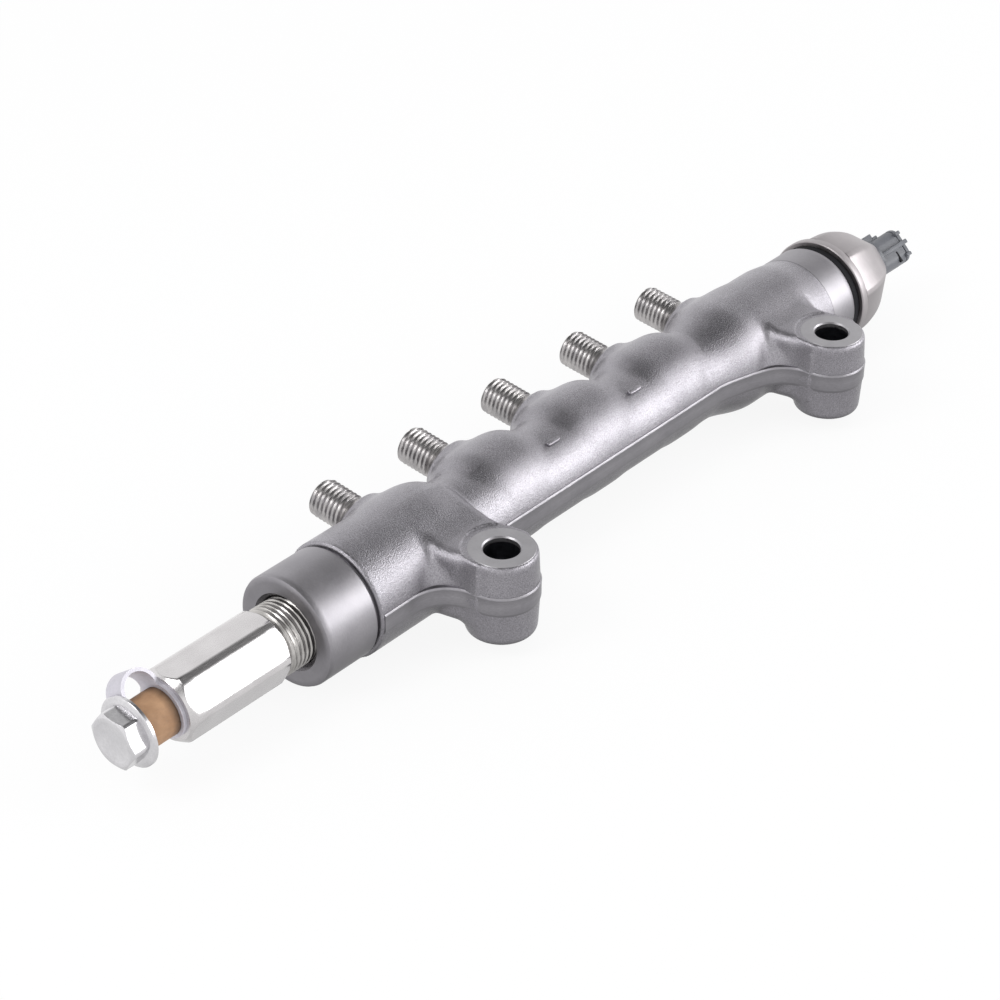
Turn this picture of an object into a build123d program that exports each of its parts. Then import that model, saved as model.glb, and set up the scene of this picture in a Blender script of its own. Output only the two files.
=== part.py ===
from build123d import *
import math
import os

# A common rail for a four-cylinder diesel engine: a forged steel tube with five pipe ports and
# two bolt bosses, a pressure limiter with its return eye bolt at the near end and a pressure
# sensor at the far end. Lengths are in millimetres. +X runs along the rail towards the sensor,
# +Y from the bolts towards the ports, +Z away from the engine. The origin lies midway between
# the two bolts, on the plane that the bosses seat on.

# Mounting
bolt_spacing = 148.8
bolt_hole_d = 10.0
bolt_chamfer = 0.4
bolt_to_axis = 28.0
seat_to_axis = 13.3
boss_d = 21.4
boss_rise = 12.0
spot_face_d = 19.6
boss_edge_r = 1.6
draft_angle = 3.0

# Web that joins each boss to the rail
web_width = 20.4
web_root = 15.0
web_length = 46.0
web_fillet = 8.0
web_rise = 12.7
web_drop = 9.5
scoop_r = 6.0
scoop_floor = 11.2

# Rail, measured along its axis from the near end face
near_overhang = 52.4
far_overhang = 31.1
near_end_d = 32.2
near_end_length = 17.6
relief_d = 31.4
relief_width = 0.9
near_head_d = 33.8
near_head_end = 48.0
near_step_length = 14.0
mid_d = 27.2
far_step_start = 168.0
far_step_length = 17.0
far_head_d = 34.6
far_end_d = 32.4
far_end_length = 10.5
shoulder_length = 3.6
end_chamfer = 1.0
band_height = 4.8

# Ports, measured from the rail axis along each port
port_count = 5
port_pitch = 35.5
first_port = 48.0
port_tilt = 5.8
port_reach = 33.2
port_thread_d = 11.9
port_thread_length = 10.7
port_tip_chamfer = 0.9
port_root_d = 10.0
port_runout = 1.2
port_cone_length = 2.8
collar_d = 16.4
collar_flare = 2.0
dome_d = 30.0
dome_shift = 2.5
port_seat_d = 7.0
port_seat_angle = 60.0
port_bore_d = 4.0
port_drill_d = 2.6
orifice_d = 0.9
orifice_length = 5.0
orifice_depth = 16.0

# Bores of the rail
gallery_d = 10.0
near_bore_depth = 22.0
near_mouth_d = 22.4
near_seat_length = 6.0
near_seat_d = 15.4
far_bore_depth = 20.0
far_mouth_d = 19.6
far_seat_length = 3.6
far_seat_d = 12.6
screw_gap = 0.05
press_gap = 0.01
slip_gap = 0.05

# Pressure limiter
limiter_thread_d = 19.8
limiter_stand_off = 7.6
limiter_flats = 19.0
limiter_corner_d = 21.2
limiter_hex_length = 34.6
limiter_neck_d = 17.6
limiter_neck_length = 1.6
limiter_end_d = 18.4
limiter_chamfer = 2.0
limiter_far_chamfer = 0.9
limiter_clocking = 24.3
guide_bore_d = 12.0
spring_chamber = 41.0
outlet_thread_d = 10.0
outlet_thread_depth = 13.0
outlet_drill_d = 8.4

# Valve of the limiter
valve_seat_thickness = 6.0
valve_throat_d = 1.6
valve_cone_d = 5.0
valve_cone_angle = 60.0
valve_cone_gap = 0.03
valve_tip_d = 2.0
valve_nose_length = 1.5
valve_guide_length = 12.0
valve_guide_flats = 10.2
valve_pocket_d = 8.6
valve_pocket_depth = 8.0
valve_lift = 1.0
spring_od = 8.2
spring_wire = 1.4
spring_pitch = 3.4
spring_end_gap = 0.05
shim_d = 11.0
shim_thickness = 1.0
shim_hole_d = 3.2
stop_thickness = 2.2
stop_hole_d = 3.0

# Eye bolt, its double gasket and the sleeve on its shank
eye_bolt_d = 9.9
eye_bolt_reach = 12.0
eye_bolt_drill_d = 4.5
eye_bolt_cross_d = 3.5
eye_flange_d = 19.6
eye_flange_thickness = 1.1
eye_flange_cone = 0.9
eye_head_flats = 14.0
eye_head_height = 4.4
eye_head_chamfer = 0.5
eye_head_clocking = 4.0
gasket_d = 15.4
gasket_thickness = 1.0
gasket_gap = 0.1
strap_width = 7.4
strap_clocking = 52.0
sleeve_length = 9.3
sleeve_d = 13.6
sleeve_bore_d = 10.4

# Pressure sensor, measured from the far end face
seal_thickness = 2.7
seal_d = 31.6
seal_bore_d = 20.0
sensor_thread_d = 17.9
sensor_nose_d = 12.4
sensor_passage_d = 2.5
sensor_flange_d = 34.2
sensor_flange_thickness = 2.6
sensor_sides = 8
sensor_flats = 32.2
sensor_clocking = 5.7
sensor_height = 25.0
sensor_top_d = 16.6
sensor_lip_d = 15.0
sensor_lip_length = 3.0
cavity_floor = 4.6
cavity_ledge = 4.4
cavity_length = 6.0
cavity_d = 23.0
ledge_d = 19.6
stem_d = 8.0
stem_bore_d = 5.0
diaphragm = 0.6
board_thickness = 1.2

# Connector of the sensor
base_gap = 0.2
base_start = 6.0
base_clearance = 0.2
o_ring_wire = 1.8
o_ring_gap = 0.02
o_ring_groove = 2.4
neck_d = 14.8
neck_length = 2.4
shroud_width = 11.4
shroud_depth = 9.0
shroud_offset = 1.0
shroud_length = 14.3
shroud_wall = 1.2
shroud_corner = 3.2
socket_depth = 9.5
connector_clocking = 44.0
latch_width = 3.0
latch_height = 2.3
latch_length = 6.2
rib_width = 1.4
rib_height = 1.5
groove_from_end = 5.6
groove_width = 0.9
groove_depth = 0.7
terminal_count = 3
terminal_pitch = 2.8
terminal_width = 1.4
terminal_thickness = 0.7
terminal_reach = 7.5

# Places worked out from the sizes above
rail_length = near_overhang + bolt_spacing + far_overhang
near_face_x = -bolt_spacing / 2 - near_overhang
rail_line = Axis((near_face_x, bolt_to_axis, seat_to_axis), (1, 0, 0))
lengthwise = Plane(
    origin=(near_face_x, bolt_to_axis, seat_to_axis), x_dir=(1, 0, 0), z_dir=(0, -1, 0)
)
parting = Plane.XY.offset(seat_to_axis)
strap_reach = math.cos(math.radians(strap_clocking))
strap_rise = math.sin(math.radians(strap_clocking))
port_direction = Vector(0, math.cos(math.radians(port_tilt)), math.sin(math.radians(port_tilt)))


def across(distance):
    # plane square to the rail axis, at a distance from the near end face, facing the sensor
    return Plane(
        origin=(near_face_x + distance, bolt_to_axis, seat_to_axis),
        x_dir=(0, 1, 0),
        z_dir=(1, 0, 0),
    )


def port_centre(number):
    # point on the rail axis that a port starts from
    return Vector(near_face_x + first_port + number * port_pitch, bolt_to_axis, seat_to_axis)


def port_plane(number):
    # plane through a port's axis: its x runs out along the port, its y along the rail
    return Plane(
        origin=port_centre(number),
        x_dir=port_direction,
        z_dir=port_direction.cross(Vector(1, 0, 0)),
    )


def smooth_step(start, end):
    # two equal arcs that leave and arrive level, from one diameter to the next
    middle = (Vector(start) + Vector(end)) * 0.5
    first = TangentArc(start, middle, tangent=(1, 0))
    return TangentArc(middle, end, tangent=first % 1)


def ring_section(start, end, inner_d, outer_d):
    # half section of a plain ring round the rail axis
    with Locations(((start + end) / 2, (inner_d + outer_d) / 4)):
        Rectangle(end - start, (outer_d - inner_d) / 2)


def facing_strap(distance):
    # plane square to the rail axis whose y points at the strap of the double gasket
    return Plane(
        origin=(near_face_x + distance, bolt_to_axis, seat_to_axis),
        x_dir=(0, strap_rise, -strap_reach),
        z_dir=(1, 0, 0),
    )


def facing_latch(distance):
    # plane square to the rail axis whose x points at the latch block of the connector
    angle = math.radians(connector_clocking)
    return Plane(
        origin=(near_face_x + distance, bolt_to_axis, seat_to_axis),
        x_dir=(0, math.cos(angle), math.sin(angle)),
        z_dir=(1, 0, 0),
    )


# Distances along the rail axis and radii that several pieces share
near_forging = near_end_length + relief_width
far_shoulder = rail_length - far_end_length
near_step_end = near_head_end + near_step_length
far_step_end = far_step_start + far_step_length
near_thread_r = limiter_thread_d / 2 + screw_gap
far_thread_r = sensor_thread_d / 2 + screw_gap
far_bore_bottom = rail_length - far_bore_depth
thread_end = port_reach - port_thread_length
flare_r = collar_d / 2 + collar_flare
flare_end = dome_shift + math.sqrt((dome_d / 2) ** 2 - flare_r**2)
port_seat_cone = (port_seat_d - port_bore_d) / 2 / math.tan(math.radians(port_seat_angle / 2))
orifice_bottom = port_reach - orifice_depth
limiter_end = near_bore_depth - near_seat_length
limiter_face = -limiter_stand_off - limiter_hex_length
chamber_end = limiter_end - spring_chamber
cone_slope = math.tan(math.radians(valve_cone_angle / 2))
valve_cone_start = limiter_end - valve_cone_gap / math.sin(math.radians(valve_cone_angle / 2))
valve_shoulder = limiter_end - valve_nose_length
valve_back = valve_shoulder - valve_guide_length
shim_start = chamber_end + stop_thickness
spring_start = shim_start + shim_thickness + spring_end_gap
spring_length = valve_back + valve_pocket_depth - spring_end_gap - spring_start
sleeve_middle = limiter_face - gasket_thickness - sleeve_length / 2
eye_flange_face = limiter_face - 2 * gasket_thickness - sleeve_length
eye_head_top = eye_flange_face - eye_flange_thickness - eye_flange_cone - eye_head_height
sensor_face = rail_length + seal_thickness
sensor_top = sensor_face + sensor_height
cavity_bottom = sensor_face + cavity_floor
board_face = cavity_bottom + cavity_ledge
base_face = cavity_bottom + base_start
base_d = cavity_d - 2 * base_gap
neck_end = sensor_top + neck_length
groove_middle = (base_face + board_face + cavity_length - base_clearance) / 2
o_ring_centre = (cavity_d - o_ring_wire) / 2 - o_ring_gap
terminal_tip = neck_end + shroud_length - socket_depth + terminal_reach
lower_end = (Align.CENTER, Align.CENTER, Align.MIN)

# ---- Rail body: one forging, turned at both ends and drilled


def forged_edge():
    # upper edge of the round forging, from the relief groove to the far turned end
    start = Line(
        (near_forging, relief_d / 2),
        (near_forging + (near_head_d - relief_d) / 2, near_head_d / 2),
    )
    near_head = Line(start @ 1, (near_head_end, near_head_d / 2))
    near_step = smooth_step(near_head @ 1, (near_step_end, mid_d / 2))
    middle = Line(near_step @ 1, (far_step_start, mid_d / 2))
    far_step = smooth_step(middle @ 1, (far_step_end, far_head_d / 2))
    far_head = Line(far_step @ 1, (far_shoulder - shoulder_length, far_head_d / 2))
    return Line(far_head @ 1, (far_shoulder, far_end_d / 2))


with BuildPart() as web:
    with BuildSketch(parting) as web_plan:
        with Locations((-bolt_spacing / 2, bolt_to_axis / 2)):
            Rectangle(web_width, bolt_to_axis)
        with Locations((-bolt_spacing / 2, bolt_to_axis)):
            Rectangle(web_length, 2 * web_root)
        corners = vertices().filter_by(
            lambda v: abs(v.Y - (bolt_to_axis - web_root)) < 0.01
            and abs(abs(v.X + bolt_spacing / 2) - web_width / 2) < 0.01
        )
        fillet(corners, web_fillet)
    extrude(amount=web_rise, taper=draft_angle)
    extrude(web_plan.sketch, amount=web_drop, dir=(0, 0, -1), taper=draft_angle)
    with BuildSketch(Plane.YZ.offset(-bolt_spacing / 2)):
        with Locations((bolt_to_axis - web_root, seat_to_axis + scoop_floor + scoop_r)):
            Circle(scoop_r)
        with Locations((bolt_to_axis - web_root + scoop_r * 4, seat_to_axis + scoop_floor + scoop_r)):
            Rectangle(scoop_r * 8, scoop_r * 2)
    extrude(amount=web_length, both=True, mode=Mode.SUBTRACT)

with BuildPart() as boss:
    with BuildSketch(parting) as boss_plan:
        with Locations((-bolt_spacing / 2, 0)):
            Circle(boss_d / 2)
    extrude(amount=boss_rise, taper=draft_angle)
    extrude(boss_plan.sketch, amount=seat_to_axis, dir=(0, 0, -1), taper=draft_angle)
    fillet(faces().sort_by(Axis.Z)[0].edges(), boss_edge_r)
    extrude(boss_plan.sketch, amount=band_height / 2, both=True)

with BuildPart() as rail_body:
    with BuildSketch(lengthwise):
        with BuildLine():
            near_edge = Polyline(
                (0, 0),
                (0, near_end_d / 2 - end_chamfer),
                (end_chamfer, near_end_d / 2),
                (near_end_length, near_end_d / 2),
                (near_end_length, relief_d / 2),
                (near_forging, relief_d / 2),
            )
            forged = forged_edge()
            Polyline(
                forged @ 1,
                (rail_length - end_chamfer, far_end_d / 2),
                (rail_length, far_end_d / 2 - end_chamfer),
                (rail_length, 0),
                (0, 0),
            )
        make_face()
    revolve(axis=rail_line)
    for number in range(port_count):
        with BuildSketch(port_plane(number)):
            with BuildLine():
                Polyline(
                    (dome_shift - dome_d / 2, 0),
                    (port_reach, 0),
                    (port_reach, port_thread_d / 2 - port_tip_chamfer),
                    (port_reach - port_tip_chamfer, port_thread_d / 2),
                    (thread_end, port_thread_d / 2),
                    (thread_end - port_runout / 2, port_root_d / 2),
                    (thread_end - port_runout, port_root_d / 2),
                    (thread_end - port_runout - port_cone_length, collar_d / 2),
                    (flare_end + collar_flare, collar_d / 2),
                )
                TangentArc(
                    (flare_end + collar_flare, collar_d / 2), (flare_end, flare_r), tangent=(-1, 0)
                )
                ThreePointArc(
                    (flare_end, flare_r),
                    (dome_shift, dome_d / 2),
                    (dome_shift - dome_d / 2, 0),
                )
            make_face()
        revolve(axis=Axis(port_centre(number), port_direction))
    add(web.part)
    mirror(web.part, about=Plane.YZ)
    add(boss.part)
    mirror(boss.part, about=Plane.YZ)
    with BuildSketch(Plane(origin=(near_face_x, bolt_to_axis, seat_to_axis))):
        with BuildLine():
            forged_edge()
            Polyline(
                (far_shoulder, far_end_d / 2),
                (far_shoulder, 0),
                (near_forging, 0),
                (near_forging, relief_d / 2),
            )
        make_face()
        mirror(about=Plane.XZ)
    extrude(amount=band_height / 2, both=True)
    with Locations((0, 0, seat_to_axis + boss_rise)):
        with GridLocations(bolt_spacing, 0, 2, 1):
            Cylinder(spot_face_d / 2, web_rise, align=lower_end, mode=Mode.SUBTRACT)
    with GridLocations(bolt_spacing, 0, 2, 1):
        Cylinder(bolt_hole_d / 2, bolt_to_axis, align=lower_end, mode=Mode.SUBTRACT)
    spot_faces = faces().filter_by(Plane.XY).filter_by_position(
        Axis.Z, seat_to_axis + boss_rise, seat_to_axis + boss_rise
    )
    rims = spot_faces.edges().filter_by(GeomType.CIRCLE)
    chamfer(rims.filter_by(lambda e: abs(e.radius - bolt_hole_d / 2) < 0.001), bolt_chamfer)
    with BuildSketch(lengthwise):
        with BuildLine():
            Polyline(
                (0, 0),
                (0, near_mouth_d / 2),
                (near_mouth_d / 2 - near_thread_r, near_thread_r),
                (limiter_end, near_thread_r),
                (limiter_end, near_seat_d / 2),
                (near_bore_depth, near_seat_d / 2),
                (near_bore_depth, gallery_d / 2),
                (far_bore_bottom, gallery_d / 2),
                (far_bore_bottom, far_seat_d / 2),
                (far_bore_bottom + far_seat_length, far_seat_d / 2),
                (far_bore_bottom + far_seat_length, far_thread_r),
                (rail_length - far_mouth_d / 2 + far_thread_r, far_thread_r),
                (rail_length, far_mouth_d / 2),
                (rail_length, 0),
                (0, 0),
            )
        make_face()
    revolve(axis=rail_line, mode=Mode.SUBTRACT)
    for number in range(port_count):
        with BuildSketch(port_plane(number)):
            with BuildLine():
                Polyline(
                    (0, 0),
                    (0, port_drill_d / 2),
                    (orifice_bottom, port_drill_d / 2),
                    (orifice_bottom, port_bore_d / 2),
                    (port_reach - port_seat_cone, port_bore_d / 2),
                    (port_reach, port_seat_d / 2),
                    (port_reach, 0),
                    (0, 0),
                )
            make_face()
        revolve(axis=Axis(port_centre(number), port_direction), mode=Mode.SUBTRACT)
rail_body.part.label = "rail_body"

# ---- Orifices: a drilled bushing pressed to the bottom of each port's bore

orifices = []
for number in range(port_count):
    with BuildPart() as orifice:
        with BuildSketch(port_plane(number)):
            with Locations((orifice_bottom + orifice_length / 2, orifice_d / 2)):
                Rectangle(
                    orifice_length,
                    port_bore_d / 2 - press_gap - orifice_d / 2,
                    align=(Align.CENTER, Align.MIN),
                )
        revolve(axis=Axis(port_centre(number), port_direction))
    orifice.part.label = f"orifice_{number + 1}"
    orifices.append(orifice.part)

# ---- Pressure limiter: screwed housing, seat, valve, spring, shim and spring stop

with BuildPart() as limiter_body:
    with BuildSketch(across(limiter_face)):
        RegularPolygon(limiter_flats / 2, 6, major_radius=False, rotation=limiter_clocking - 30)
    extrude(amount=limiter_hex_length)
    with BuildSketch(lengthwise):
        with BuildLine():
            Polyline(
                (limiter_face, 0),
                (limiter_face, limiter_end_d / 2),
                (limiter_face + limiter_chamfer, limiter_corner_d / 2),
                (-limiter_stand_off - limiter_far_chamfer, limiter_corner_d / 2),
                (-limiter_stand_off, limiter_corner_d / 2 - limiter_far_chamfer),
                (-limiter_stand_off, 0),
                (limiter_face, 0),
            )
        make_face()
    revolve(axis=rail_line, mode=Mode.INTERSECT)
    with BuildSketch(lengthwise):
        with BuildLine():
            Polyline(
                (-limiter_stand_off, 0),
                (-limiter_stand_off, limiter_neck_d / 2),
                (limiter_neck_length - limiter_stand_off, limiter_neck_d / 2),
                (limiter_neck_length - limiter_stand_off, limiter_thread_d / 2),
                (limiter_end - end_chamfer, limiter_thread_d / 2),
                (limiter_end, limiter_thread_d / 2 - end_chamfer),
                (limiter_end, 0),
                (-limiter_stand_off, 0),
            )
        make_face()
    revolve(axis=rail_line)
    with BuildSketch(lengthwise):
        ring_section(chamber_end, limiter_end, 0, guide_bore_d)
        ring_section(limiter_face, chamber_end, 0, outlet_drill_d)
        ring_section(limiter_face, limiter_face + outlet_thread_depth, 0, outlet_thread_d)
    revolve(axis=rail_line, mode=Mode.SUBTRACT)
limiter_body.part.label = "limiter_body"

with BuildPart() as limiter_seat:
    with BuildSketch(lengthwise):
        with BuildLine():
            Polyline(
                (limiter_end, valve_cone_d / 2),
                (limiter_end, near_seat_d / 2 - slip_gap),
                (near_bore_depth, near_seat_d / 2 - slip_gap),
                (near_bore_depth, valve_throat_d / 2),
                (limiter_end + (valve_cone_d - valve_throat_d) / 2 / cone_slope, valve_throat_d / 2),
                (limiter_end, valve_cone_d / 2),
            )
        make_face()
    revolve(axis=rail_line)
limiter_seat.part.label = "limiter_seat"

with BuildPart() as limiter_valve:
    with BuildSketch(lengthwise):
        with BuildLine():
            Polyline(
                (valve_back, 0),
                (valve_back, guide_bore_d / 2 - slip_gap),
                (valve_shoulder, guide_bore_d / 2 - slip_gap),
                (valve_shoulder, valve_cone_d / 2),
                (valve_cone_start, valve_cone_d / 2),
                (valve_cone_start + (valve_cone_d - valve_tip_d) / 2 / cone_slope, valve_tip_d / 2),
                (valve_cone_start + (valve_cone_d - valve_tip_d) / 2 / cone_slope, 0),
                (valve_back, 0),
            )
        make_face()
    revolve(axis=rail_line)
    with BuildSketch(across(valve_back)):
        Rectangle(valve_guide_flats, valve_guide_flats)
    extrude(amount=valve_guide_length + near_bore_depth, mode=Mode.INTERSECT)
    with BuildSketch(lengthwise):
        ring_section(valve_back, valve_back + valve_pocket_depth, 0, valve_pocket_d)
    revolve(axis=rail_line, mode=Mode.SUBTRACT)
limiter_valve.part.label = "limiter_valve"

with BuildPart() as limiter_spring:
    with BuildLine():
        coil = Helix(
            spring_pitch,
            spring_length - spring_wire * 1.2,
            (spring_od - spring_wire) / 2,
            center=(near_face_x + spring_start + spring_wire * 0.6, bolt_to_axis, seat_to_axis),
            direction=(1, 0, 0),
        )
    with BuildSketch(Plane(coil @ 0, x_dir=(0, 0, 1), z_dir=coil % 0)):
        Rectangle(spring_wire, spring_wire)
    sweep(path=coil, is_frenet=True)
limiter_spring.part.label = "limiter_spring"

with BuildPart() as limiter_shim:
    with BuildSketch(lengthwise):
        ring_section(shim_start, shim_start + shim_thickness, shim_hole_d, shim_d)
    revolve(axis=rail_line)
limiter_shim.part.label = "limiter_shim"

with BuildPart() as limiter_spring_stop:
    with BuildSketch(lengthwise):
        ring_section(chamber_end, shim_start, stop_hole_d, guide_bore_d - 2 * slip_gap)
    revolve(axis=rail_line)
limiter_spring_stop.part.label = "limiter_spring_stop"

# ---- Return connection: hollow bolt, double gasket and the sleeve that spaces its rings

with BuildPart() as eye_bolt:
    with BuildSketch(across(eye_head_top)):
        RegularPolygon(eye_head_flats / 2, 6, major_radius=False, rotation=eye_head_clocking)
    extrude(amount=eye_head_height)
    chamfer(faces().sort_by(Axis.X)[0].edges(), eye_head_chamfer)
    with BuildSketch(lengthwise):
        with BuildLine():
            Polyline(
                (eye_head_top + eye_head_height, 0),
                (eye_head_top + eye_head_height, eye_head_flats / 2),
                (eye_flange_face - eye_flange_thickness, eye_flange_d / 2),
                (eye_flange_face, eye_flange_d / 2),
                (eye_flange_face, eye_bolt_d / 2),
                (limiter_face + eye_bolt_reach - end_chamfer, eye_bolt_d / 2),
                (limiter_face + eye_bolt_reach, eye_bolt_d / 2 - end_chamfer),
                (limiter_face + eye_bolt_reach, 0),
                (eye_head_top + eye_head_height, 0),
            )
        make_face()
    revolve(axis=rail_line)
    with BuildSketch(lengthwise):
        ring_section(sleeve_middle - eye_bolt_cross_d, limiter_face + eye_bolt_reach, 0, eye_bolt_drill_d)
    revolve(axis=rail_line, mode=Mode.SUBTRACT)
    with BuildSketch(parting):
        with Locations((near_face_x + sleeve_middle, bolt_to_axis)):
            Circle(eye_bolt_cross_d / 2)
    extrude(amount=eye_bolt_d, both=True, mode=Mode.SUBTRACT)
eye_bolt.part.label = "eye_bolt"

with BuildPart() as twin_gasket:
    for ring_face in (limiter_face - gasket_thickness, eye_flange_face):
        with BuildSketch(facing_strap(ring_face)):
            Circle(gasket_d / 2)
            Rectangle(strap_width, gasket_d / 2, align=(Align.CENTER, Align.MIN))
            Circle(eye_bolt_d / 2 + gasket_gap, mode=Mode.SUBTRACT)
        extrude(amount=gasket_thickness)
    with BuildSketch(Plane(rail_line.position, x_dir=(1, 0, 0), z_dir=(0, -strap_rise, strap_reach))):
        with Locations((sleeve_middle, gasket_d / 2)):
            Circle(sleeve_length / 2 + gasket_thickness)
            Circle(sleeve_length / 2, mode=Mode.SUBTRACT)
            Rectangle(
                strap_width + sleeve_length * 2,
                sleeve_length * 2,
                align=(Align.CENTER, Align.MAX),
                mode=Mode.SUBTRACT,
            )
    extrude(amount=strap_width / 2, both=True)
twin_gasket.part.label = "twin_gasket"

with BuildPart() as spacer_sleeve:
    with BuildSketch(lengthwise):
        with Locations((sleeve_middle, sleeve_bore_d / 2)):
            Rectangle(
                sleeve_length, (sleeve_d - sleeve_bore_d) / 2, align=(Align.CENTER, Align.MIN)
            )
    revolve(axis=rail_line)
spacer_sleeve.part.label = "spacer_sleeve"

# ---- Pressure sensor: seal, housing, measuring stem, circuit board and o-ring

with BuildPart() as sensor_seal:
    with BuildSketch(lengthwise):
        ring_section(rail_length, sensor_face, seal_bore_d, seal_d)
    revolve(axis=rail_line)
sensor_seal.part.label = "sensor_seal"

with BuildPart() as sensor_body:
    with BuildSketch(across(sensor_face + sensor_flange_thickness)):
        RegularPolygon(
            sensor_flats / 2,
            sensor_sides,
            major_radius=False,
            rotation=sensor_clocking - 180 / sensor_sides,
        )
    extrude(amount=sensor_height - sensor_flange_thickness)
    with BuildSketch(lengthwise):
        with BuildLine():
            Polyline(
                (sensor_top, sensor_top_d / 2),
                (sensor_top, 0),
                (sensor_face + sensor_flange_thickness, 0),
                (sensor_face + sensor_flange_thickness, sensor_flange_d / 2),
            )
            TangentArc(
                (sensor_face + sensor_flange_thickness, sensor_flange_d / 2),
                (sensor_top, sensor_top_d / 2),
                tangent=(1, 0),
            )
        make_face()
    revolve(axis=rail_line, mode=Mode.INTERSECT)
    with BuildSketch(lengthwise):
        with BuildLine():
            Polyline(
                (far_bore_bottom, 0),
                (far_bore_bottom, sensor_nose_d / 2),
                (far_bore_bottom + far_seat_length, sensor_nose_d / 2),
                (far_bore_bottom + far_seat_length, sensor_thread_d / 2 - end_chamfer),
                (far_bore_bottom + far_seat_length + end_chamfer, sensor_thread_d / 2),
                (sensor_face, sensor_thread_d / 2),
                (sensor_face, sensor_flange_d / 2),
                (sensor_face + sensor_flange_thickness, sensor_flange_d / 2),
                (sensor_face + sensor_flange_thickness, 0),
                (far_bore_bottom, 0),
            )
        make_face()
    revolve(axis=rail_line)
    with BuildSketch(lengthwise):
        with BuildLine():
            Polyline(
                (far_bore_bottom, 0),
                (far_bore_bottom, sensor_passage_d / 2),
                (cavity_bottom, sensor_passage_d / 2),
                (cavity_bottom, ledge_d / 2),
                (board_face, ledge_d / 2),
                (board_face, cavity_d / 2),
                (board_face + cavity_length, cavity_d / 2),
                (sensor_top - sensor_lip_length, sensor_lip_d / 2),
                (sensor_top, sensor_lip_d / 2),
                (sensor_top, 0),
                (far_bore_bottom, 0),
            )
        make_face()
    revolve(axis=rail_line, mode=Mode.SUBTRACT)
sensor_body.part.label = "sensor_body"

with BuildPart() as sensor_stem:
    with BuildSketch(lengthwise):
        ring_section(cavity_bottom, board_face, 0, stem_d)
        with Locations(((cavity_bottom + board_face - diaphragm) / 2, stem_bore_d / 4)):
            Rectangle(board_face - diaphragm - cavity_bottom, stem_bore_d / 2, mode=Mode.SUBTRACT)
    revolve(axis=rail_line)
sensor_stem.part.label = "sensor_stem"

with BuildPart() as sensor_board:
    with BuildSketch(lengthwise):
        ring_section(board_face, board_face + board_thickness, 0, base_d)
    revolve(axis=rail_line)
sensor_board.part.label = "sensor_board"

with BuildPart() as sensor_o_ring:
    with BuildSketch(lengthwise):
        with Locations((groove_middle, o_ring_centre)):
            Circle(o_ring_wire / 2)
    revolve(axis=rail_line)
sensor_o_ring.part.label = "sensor_o_ring"

# ---- Connector of the sensor, with its latch block, guide rib and terminals

with BuildPart() as sensor_connector:
    with BuildSketch(lengthwise):
        with BuildLine():
            Polyline(
                (base_face, 0),
                (base_face, base_d / 2),
                (board_face + cavity_length - base_clearance, base_d / 2),
                (sensor_top - sensor_lip_length - base_clearance, neck_d / 2),
                (neck_end, neck_d / 2),
                (neck_end, 0),
                (base_face, 0),
            )
        make_face()
        with Locations((groove_middle, base_d / 2)):
            Rectangle(
                o_ring_groove, base_d - 2 * o_ring_centre + o_ring_wire + 2 * o_ring_gap, mode=Mode.SUBTRACT
            )
    revolve(axis=rail_line)
    with BuildSketch(facing_latch(neck_end)):
        with Locations((-shroud_offset, 0)):
            RectangleRounded(shroud_width, shroud_depth, shroud_corner)
    extrude(amount=shroud_length)
    with BuildSketch(facing_latch(neck_end)):
        with Locations((shroud_width / 2 - shroud_offset, 0)):
            Rectangle(latch_height * 2, latch_width)
    extrude(amount=latch_length)
    with BuildSketch(facing_latch(neck_end)):
        with Locations((-shroud_offset, shroud_depth / 2)):
            Rectangle(rib_width, rib_height * 2)
    extrude(amount=shroud_length)
    with BuildSketch(facing_latch(neck_end + shroud_length - socket_depth)):
        with Locations((-shroud_offset, 0)):
            RectangleRounded(
                shroud_width - 2 * shroud_wall,
                shroud_depth - 2 * shroud_wall,
                shroud_corner - shroud_wall,
            )
    extrude(amount=socket_depth, mode=Mode.SUBTRACT)
    with BuildSketch(facing_latch(neck_end + shroud_length - groove_from_end)):
        with Locations((-shroud_offset - rib_width, shroud_depth / 2)):
            Rectangle(shroud_width, groove_depth * 2, align=(Align.MAX, Align.CENTER))
    extrude(amount=-groove_width, mode=Mode.SUBTRACT)
    with BuildSketch(facing_latch(base_face)):
        with Locations((-shroud_offset, 0)):
            with GridLocations(terminal_pitch, 0, terminal_count, 1):
                Rectangle(terminal_width + 2 * press_gap, terminal_thickness + 2 * press_gap)
    extrude(amount=neck_end + shroud_length - base_face, mode=Mode.SUBTRACT)
sensor_connector.part.label = "sensor_connector"

terminals = []
for number in range(terminal_count):
    with BuildPart() as terminal:
        with BuildSketch(facing_latch(board_face + board_thickness)):
            with Locations((terminal_pitch * (number - (terminal_count - 1) / 2) - shroud_offset, 0)):
                Rectangle(terminal_width, terminal_thickness)
        extrude(amount=terminal_tip - board_face - board_thickness)
    terminal.part.label = f"terminal_{number + 1}"
    terminals.append(terminal.part)

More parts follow.
